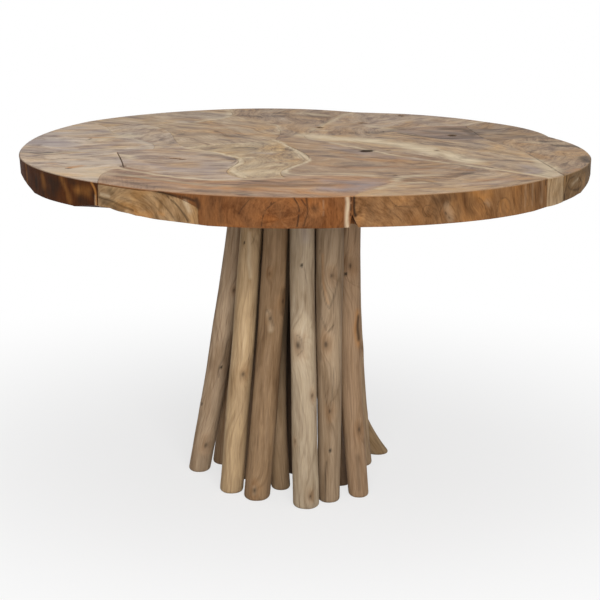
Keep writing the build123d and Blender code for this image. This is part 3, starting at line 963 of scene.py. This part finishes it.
def block_marks(co, topness):
    """Weights of the four kinds of mark at each vertex."""
    weights = np.zeros((len(co), len(KINDS)))
    flat = map_places(co)
    along = rim_places(co)
    outer = np.hypot(flat[:, 0], flat[:, 1]) > RIM_MARKS_FROM
    ragged = np.stack([noises(co, 30.0, 1.0), noises(co, 30.0, 9.0)], 1)
    for kind, half, strength, line in lines_of(TOP_MARKS):
        reach = line_distance(flat + ragged * min(half * 0.5, 12), line)
        lay(weights, kind, strength * soft(reach, half) * topness)
    for pit in PITS + [KNOT_HOLE]:
        lay(weights, "dark", np.clip(pit_share(flat, pit) * 3, 0, 1) * (co[:, 2] > SLAB_BOTTOM + 0.01))
    for kind, half, strength, line in lines_of(RIM_MARKS, rim_line):
        reach = line_distance(along + ragged * min(half * 0.4, 6), line)
        lay(weights, kind, strength * soft(reach, half) * (1 - topness) * outer)
    return weights


def lay(weights, kind, amount):
    """Raises one kind's weights to the amount where they are lower."""
    channel = weights[:, KINDS.index(kind)]
    np.maximum(channel, amount, out=channel)


# ---------------------------------------------------------------- the poles

POLE_RINGS = 200
POLE_SIDES = 56
FOOT_ROUND = 0.009
WOBBLE = 0.0018
# How lumpy a pole is, and how high the smaller bumps on it stand, as shares of its radius
LUMP = 0.035
BUMP = 0.012
KNOT_RISE = 0.0016
KNOT_DENT = 0.0022

# Painted shade: poles inside the bundle, which the outer poles shade, are darker above their feet: by how
# much, from where, and over what height
INNER_SHADE = 0.62
SHADE_FROM = 0.16
SHADE_FADE = 0.20

# How far a pole's middle bows sideways from its solid's line, and
# how far a pole's foot stands to the right of its solid's, where that closes a gap seen from the front
POLE_BOWS = {"inner_pole_front": -0.018}
FOOT_SHIFTS = {"pole_front_right": -0.0038, "pole_front": 0.0006, "inner_pole_right_front": -0.007}

# Each pole: its colour, and its knots as (height in mm, bearing round the pole, radius in mm). A knot
# under HOLE_SIZE is an open pin hole.
HOLE_SIZE = 5
POLES = {
    "pole_left": ((168, 144, 118), [(264, 17, 4), (170, -56, 4), (451, 19, 6), (70, 10, 12)]),
    "pole_front_left_outer": ((177, 150, 115), [(578, -32, 3.5), (280, 13, 9), (620, 10, 10)]),
    "pole_front_left": ((141, 114, 85), [(416, -4, 6), (516, -22, 5), (26, -14, 9), (452, 60, 12)]),
    "pole_front": (
        (169, 151, 127), [(361, -25, 14), (539, -2, 4), (148, -48, 5), (30, 20, 6), (250, 40, 7)],
    ),
    "pole_front_right": ((153, 131, 106), [(515, 8, 9), (362, -16, 12), (122, 4, 4.5), (211, 1, 9)]),
    "pole_right_front": ((157, 129, 101), [(502, -9, 4.5), (520, 12, 12), (150, 30, 9)]),
    "pole_right": ((166, 140, 110), [(300, 60, 8), (120, 100, 7)]),
    "pole_kicked_foot": ((160, 134, 100), [(120, 20, 8)]),
    "pole_back_right": ((176, 152, 122), [(410, 160, 9), (220, 140, 5)]),
    "pole_back": ((168, 140, 110), [(260, 190, 8), (560, 170, 6), (90, 180, 10)]),
    "pole_back_left": ((186, 162, 132), [(480, 215, 9), (330, 200, 5)]),
    "pole_left_back": ((158, 130, 100), [(200, 250, 7), (540, 240, 8)]),
    "inner_pole_front": ((150, 125, 96), []),
    # this pole's colour is darkened as painted shade, for the shadow between the poles
    "inner_pole_right_front": ((112, 90, 69), []),
    "inner_pole_right_back": ((128, 104, 80), []),
    "inner_pole_back": ((128, 104, 80), []),
    "inner_pole_left_back": ((128, 104, 80), []),
    "inner_pole_left_front": ((156, 130, 104), []),
    # the centre pole's colour is darkened as painted shade, for the deep shadow in the middle of the bundle
    "centre_pole": ((84, 66, 50), []),
}

# Marks on the poles, their points as height and bearing round the pole
POLE_MARKS = {
    "pole_front_right": [
        dark(3.2, 0.9, 97, -15, 50, -17, 5, -17),
        dark(3.6, 0.45, 570, -44, 505, -38, 460, -17, 442, -2),
        dark(3.6, 0.4, 505, 36, 460, 14, 442, -2),
        dark(3.2, 0.35, 430, -40, 400, -18, 392, -4, 405, 20),
        warm(6, 0.35, 560, -30, 500, -26, 455, -6),
        dark(3.2, 0.4, 310, 22, 250, 12, 211, 1),
        dark(3.2, 0.35, 290, -32, 240, -18, 211, 1),
        dark(14, 0.3, 530, -45, 440, -48, 330, -46),
    ],
    "pole_right_front": [
        dark(10, 0.85, 402, 52, 376, 44, 352, 50),
        warm(17, 0.6, 410, 50, 376, 38, 340, 46),
        dark(12, 0.3, 90, 10, 20, 6),
    ],
    "pole_left": [
        dark(26, 0.3, 40, 6, 8, 12),
        dark(3.2, 0.45, 330, 30, 285, 20, 262, 6, 240, 14),
        dark(3.2, 0.35, 590, 44, 500, 40, 440, 34),
    ],
    "pole_front_left_outer": [
        pale(7, 0.4, 600, -10, 540, 0, 500, 14),
        dark(3.2, 0.3, 640, 24, 600, 22, 575, 8),
    ],
    "pole_front_left": [
        pale(11, 0.4, 430, -10, 408, 0, 392, 4),
        dark(3.4, 0.45, 436, -22, 424, -2, 400, 12),
        dark(14, 0.45, 475, 58, 430, 60),
        pale(9, 0.3, 32, -16, 20, -12),
    ],
    "pole_front": [
        dark(3.2, 0.5, 385, -28, 376, -8, 352, -4, 338, -24),
        grey(24, 0.25, 640, 10, 600, 20),
    ],
}


def pole_line(node):
    """A pole's middle line and radii, read from its solid: (foot, top, foot radius, top radius, bend)."""
    co = coordinates(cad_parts[node].data)
    rings = []
    for z in sorted(set(np.round(co[:, 2], 4))):
        ring = co[np.abs(co[:, 2] - z) < 1e-4]
        if len(ring) > 24 and z < PLATE_BOTTOM + 0.0005:
            rings.append((z, (ring.max(0) + ring.min(0)) / 2, np.ptp(ring[:, 0]) / 2))
    _, foot, foot_radius = rings[0]
    _, top, top_radius = rings[-1]
    bend = 1.0
    if len(rings) > 2:
        z, centre, _ = rings[1]
        run = (foot - top)[:2]
        sweep = ((centre - top)[:2] @ run) / (run @ run)
        bend = math.log(sweep) / math.log(1 - z / PLATE_BOTTOM)
    return foot, top, foot_radius, top_radius, bend


def pole_piece(node, number, spec):
    """A debarked pole: round, a little crooked, with knots and a worn foot."""
    colour, knots = spec
    foot, top, foot_radius, top_radius, bend = pole_line(node)
    shift = FOOT_SHIFTS.get(node, 0)
    bow = POLE_BOWS.get(node, 0)
    heights = [FOOT_ROUND * (1 - math.cos(math.pi / 2 * i / 4)) for i in range(4)]
    heights += list(np.linspace(FOOT_ROUND, PLATE_BOTTOM, POLE_RINGS))
    verts = []
    for z in heights:
        share = z / PLATE_BOTTOM
        sweep = (1 - share) ** bend
        radius = foot_radius + (top_radius - foot_radius) * share
        if z < FOOT_ROUND:
            radius -= FOOT_ROUND * (1 - math.sin(math.acos(1 - z / FOOT_ROUND)))
        fade = math.sin(math.pi * share) ** 0.5 if 0 < share < 1 else 0
        sway = noise.noise_vector(Vector((number * 5.1, 0, z * 5))) * WOBBLE * fade
        x = top[0] + (foot[0] - top[0]) * sweep + sway.x
        x += shift * (1 - share) + bow * math.sin(math.pi * share)
        y = top[1] + (foot[1] - top[1]) * sweep + sway.y
        for i in range(POLE_SIDES):
            a = 2 * math.pi * i / POLE_SIDES
            out = Vector((math.sin(a), -math.cos(a), 0))
            lump = noise.noise(Vector((out.x * 1.3 + number * 9, out.y * 1.3, z * 7))) * LUMP
            lump += noise.noise(Vector((out.x * 3.0, out.y * 3.0 + number * 5, z * 26))) * BUMP
            r = radius * (1.0 + lump) + knot_lift(knots, z, a, radius)
            verts.append((x + out.x * r, y + out.y * r, z))
    mesh = bpy.data.meshes.new(node)
    mesh.from_pydata(verts, [], tube_faces(len(heights), POLE_SIDES))
    paint_pole(mesh, np.array(verts), heights, number, knots, top_radius, node)
    smooth(mesh)
    mesh.materials.append(pole_wood("wood_" + node, srgb(*colour)))
    stand_in("round_" + node, mesh, node)


def knot_lift(knots, z, a, radius):
    """How far knots lift the surface round them, less how far their hearts dent it."""
    lift = 0.0
    for height, bearing, size in knots:
        away = knot_distance(z, a, radius, height, bearing) / (size * MM)
        lift += KNOT_RISE * math.exp(-(away**2) / 5) - KNOT_DENT * math.exp(-(away**2) * 2.5)
    return lift


def knot_distance(z, a, radius, height, bearing):
    turn = (a - math.radians(bearing) + math.pi) % (2 * math.pi) - math.pi
    return math.hypot((z - height * MM) * 0.6, turn * radius)


def tube_faces(rings, sides):
    faces = []
    for j in range(rings - 1):
        for i in range(sides):
            k = (i + 1) % sides
            faces.append((j * sides + i, j * sides + k, (j + 1) * sides + k, (j + 1) * sides + i))
    faces.append(tuple(reversed(range(sides))))
    faces.append(tuple((rings - 1) * sides + i for i in range(sides)))
    return faces


def paint_pole(mesh, co, heights, number, knots, radius, node):
    """Flow, ring and marks of a pole's surface."""
    angles = np.tile(2 * np.pi * np.arange(POLE_SIDES) / POLE_SIDES, len(heights))
    z = co[:, 2]
    across = np.stack([np.sin(angles), -np.cos(angles)], 1) * radius
    bulge = np.zeros(len(co))
    weights = np.zeros((len(co), len(KINDS)))
    for height, bearing, size in knots:
        away = np.array([knot_distance(zz, aa, radius, height, bearing) for zz, aa in zip(z, angles)])
        bulge += np.exp(-((away / (size * MM * 2.2)) ** 2)) * size * MM * 0.9
        if size < HOLE_SIZE:
            lay(weights, "dark", np.clip(1.6 * soft(away, size * MM), 0, 0.95))
            continue
        ragged = away * (1 + 0.35 * noises(co, 60.0, number + height))
        for kind, strength, reach in (("dark", 0.85, 0.8), ("dark", 0.42, 1.7), ("warm", 0.25, 2.4)):
            lay(weights, kind, strength * soft(ragged, size * MM * reach))
    flow = np.stack([z + number * 2.3, across[:, 0] + bulge, across[:, 1] + number], 1)
    set_attribute(mesh, "flow", flow)
    set_attribute(mesh, "ring", across[:, 0] * 0.4 + bulge + noises(co, 6.0, number) * 0.012)
    turned = (angles + np.pi) % (2 * np.pi) - np.pi
    skin = np.stack([turned * radius, z], 1) / MM
    skin += np.stack([noises(co, 40.0, 3.0), noises(co, 40.0, 11.0)], 1) * 1.5

    def round_pole(points):
        return [(math.radians(bearing) * radius / MM, height) for height, bearing in points]

    for kind, half, strength, line in lines_of(POLE_MARKS.get(node, []), round_pole):
        lay(weights, kind, strength * soft(line_distance(skin, line), half))
    lay(weights, "dark", 0.12 * np.clip(1 - z / 0.05, 0, 1) ** 2)
    # painted shade: the poles inside the bundle darken above their feet, where the outer poles shade them
    if node.startswith(("inner", "centre")):
        lay(weights, "dark", INNER_SHADE * np.clip((z - SHADE_FROM) / SHADE_FADE, 0, 1))
    set_attribute(mesh, "marks", weights)


def pole_wood(name, base):
    """Debarked branch wood: long grain, pale and dark streaks, fine cracks."""
    g = Graph(name)
    flow = swirled(g, 0.012)
    clouds = g.noise(flow, (5, 16, 16), detail=3, distortion=0.5)
    streaks = g.noise(flow, (6, 70, 70), distortion=0.4)
    fine = g.noise(flow, (16, 240, 240), detail=3)
    value = g.weighed((clouds, 0.5), (streaks, 0.33), (fine, 0.17))
    colour = g.ramp(value, *palette(base, POLE_TONES, POLE_TONE_PLACES))
    rings = growth_rings(g, clouds, 300.0, 4.0, 2, 0.6)
    colour = g.darkened(0.35, colour, rings, 0.36, (165, 148, 130), 0.50)
    fibres = g.noise(flow, (22, 520, 520), detail=2, roughness=0.7)
    colour = g.darkened(0.45, colour, fibres, 0.32, (186, 176, 164), 0.60)
    cracks = g.span(g.noise(flow, (9, 300, 300), detail=2), 0.30, 0.36, 0.55, 0.0)
    colour = g.mix(cracks, colour, srgb(92, 70, 50))
    g.shade(Base_Color=marked(g, colour, flow), Roughness=g.span(streaks, 0.3, 0.7, 0.82, 0.66))
    g.shade(Specular_IOR_Level=0.22)
    g.relief(g.weighed((streaks, 0.8), (fibres, 0.5), (cracks, -0.8)), 0.5, 0.001)
    return g.material


# ---------------------------------------------------------------- hidden joinery

# The tongue that reaches the rim at the back right: its bearing, how far round there its cells are cut
# and how fine, the blocks that it ties, how far out its end may be seen, where the wall starts, and how
# far the end lies behind it
REACHING_TONGUE = 132.7
TONGUE_REACH = 0.07
TONGUE_STEP = 0.004
TONGUE_SHIFT = 0.0007
TIED_BLOCKS = ("right_back", "back_right")
TONGUE_SEEN_FROM = 0.625
WALL_FROM = 0.64
TONGUE_SINK = 0.0003


def sawn_wood(name, base, specular=0.5):
    """Plain sawn wood for the hidden pieces."""
    g = Graph(name)
    place = g.node("ShaderNodeTexCoord").outputs["Object"]
    grain = g.noise(place, (6, 90, 90))
    saw = g.noise(place, (420, 12, 12), detail=2)
    colour = g.ramp(grain, (0.3, tinted(base, 0.7)), (0.7, tinted(base, 1.15)))
    colour = g.mix(g.span(saw, 0.45, 0.75, 0, 0.25), colour, tinted(base, 0.6))
    g.shade(Base_Color=colour, Roughness=g.span(grain, 0.3, 0.7, 0.7, 0.9), Specular_IOR_Level=specular)
    g.relief(g.math("ADD", grain, saw), 0.3, 0.0008)
    return g.material


def zinc(name):
    g = Graph(name)
    cloud = g.noise(g.node("ShaderNodeTexCoord").outputs["Object"], (160, 160, 160), detail=3)
    colour = g.ramp(cloud, (0.3, srgb(150, 150, 148)), (0.7, srgb(190, 190, 186)))
    g.shade(Base_Color=colour, Metallic=1.0, Roughness=g.span(cloud, 0.3, 0.7, 0.30, 0.50))
    return g.material


def wall_radius(bearings):
    """How far the wall lies from the middle at each bearing, read from the two tied blocks' solids."""
    points = []
    for name in TIED_BLOCKS:
        co = coordinates(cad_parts["block_" + name].data)
        _, radius, bearing = polar(co[co[:, 2] < TABLE_HEIGHT - 0.0022])
        points += [(b, r) for b, r in zip(bearing, radius) if r > WALL_FROM]
    points.sort()
    return np.interp(bearings, [b for b, _ in points], [r for _, r in points])


def tongue_pieces():
    """The tongues, with the one that reaches the rim trimmed flush and its end in the rim's colour."""
    bm = plain_solid("slab_tongues")
    turn = math.radians(REACHING_TONGUE)
    middle = Vector((math.sin(turn), -math.cos(turn))) * RIM_RADIUS + MAP_MIDDLE
    reaching = [v for v in bm.verts if (v.co.xy - middle).length < TONGUE_REACH]
    geometry = set(reaching)
    for v in reaching:
        geometry.update(v.link_edges, v.link_faces)
    geometry = list(geometry)
    for axis in range(2):
        places = [middle[axis] + step * TONGUE_STEP + TONGUE_SHIFT for step in range(-18, 19)]
        geometry = cut_planes(bm, geometry, axis, places)
    mesh = finished(bm, "tongues")
    co = coordinates(mesh)
    out, radius, bearing = polar(co)
    near = np.hypot(co[:, 0] - middle.x, co[:, 1] - middle.y) < TONGUE_REACH
    limit = wall_radius(bearing) - TONGUE_SINK
    over = near & (radius > limit)
    co[over, :2] -= out[over] * (1 - limit[over] / radius[over])[:, None]
    shape_rim(co, list(BLOCKS).index(TIED_BLOCKS[0]))
    move_vertices(mesh, co)
    mesh.materials.append(sawn_wood("tongue_strip", srgb(178, 148, 112)))
    mesh.materials.append(sawn_wood("tongue_end", srgb(120, 86, 57), RIM_SPECULAR))
    for polygon in mesh.polygons:
        if all(radius[i] > TONGUE_SEEN_FROM and near[i] for i in polygon.vertices):
            polygon.material_index = 1
    stand_in("slab_tongue_strips", mesh, "slab_tongues")


def dress(node, material):
    """Gives a kept CAD solid its material."""
    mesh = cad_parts[node].data
    mesh.materials.clear()
    mesh.materials.append(material)


# ---------------------------------------------------------------- stage


def add_camera():
    data = bpy.data.cameras.new("camera")
    data.sensor_width = SENSOR_MM
    data.lens = SENSOR_MM * FOCAL_PX / FRAME_PX
    camera = put("camera", data)
    tilt = Matrix.Rotation(math.radians(90 - CAMERA_TILT), 4, "X")
    roll = Matrix.Rotation(math.radians(CAMERA_ROLL), 4, "Z")
    camera.matrix_world = Matrix.Translation(CAMERA_AT) @ tilt @ roll
    bpy.context.scene.camera = camera


def add_soft_light(name, place, target, width, height, watts):
    data = bpy.data.lights.new(name, "AREA")
    data.shape = "RECTANGLE"
    data.size = width
    data.size_y = height
    data.energy = watts
    lamp = put(name, data)
    lamp.location = place
    lamp.rotation_euler = (Vector(target) - Vector(place)).to_track_quat("-Z", "Y").to_euler()


def seen_directly(g):
    """1 for rays that show the background itself: from the camera, in a gloss or through glass."""
    path = g.node("ShaderNodeLightPath").outputs
    gloss = g.math("MAXIMUM", path["Is Camera Ray"], path["Is Glossy Ray"])
    return g.math("MAXIMUM", gloss, path["Is Transmission Ray"])


def add_world():
    world = bpy.data.worlds.new("studio")
    world.use_nodes = True
    world.node_tree.nodes.clear()
    g = Graph("", world.node_tree)
    ambient = g.node("ShaderNodeBackground", Color=(1.0, 1.0, 1.0, 1.0), Strength=AMBIENT)
    white = g.node("ShaderNodeBackground", Color=(1.0, 1.0, 1.0, 1.0), Strength=1.0)
    g.end("ShaderNodeOutputWorld", seen_directly(g), ambient, white)
    bpy.context.scene.world = world


def add_floor():
    bm = bmesh.new()
    bmesh.ops.create_grid(bm, x_segments=8, y_segments=8, size=FLOOR_SIZE)
    floor = put("floor", finished(bm, "floor"))
    g = Graph("floor_white")
    g.tree.nodes.clear()
    matt = g.node("ShaderNodeBsdfDiffuse", Color=FLOOR_TONE)
    glow = g.node("ShaderNodeEmission", Strength=1.0)
    place = g.node("ShaderNodeTexCoord").outputs["Object"]
    far = g.joined("ShaderNodeVectorMath", {"operation": "LENGTH"}, place).outputs["Value"]
    fade = g.node("ShaderNodeMapRange", {"interpolation_type": "SMOOTHSTEP"}, Value=far, **FLOOR_FADE)
    g.end("ShaderNodeOutputMaterial", g.math("MULTIPLY", seen_directly(g), fade.outputs[0]), matt, glow)
    floor.data.materials.append(g.material)


# ---------------------------------------------------------------- making

add_camera()
add_world()
add_floor()
add_soft_light("front_softbox", (0.3, -4.2, 2.0), (0, 0, 0.45), 2.6, 2.0, 160)
add_soft_light("overhead_softbox", (0, -0.3, 3.4), (0, 0, 0.7), 3.4, 3.4, 43)
bpy.context.scene.view_settings.view_transform = "Standard"

for number, (name, spec) in enumerate(BLOCKS.items()):
    block_piece(name, number, spec)
for number, (name, spec) in enumerate(POLES.items()):
    pole_piece(name, number, spec)
dress("mounting_plate", sawn_wood("plate_board", srgb(150, 122, 92)))
tongue_pieces()
dress("mounting_bolts", zinc("zinc_plate"))
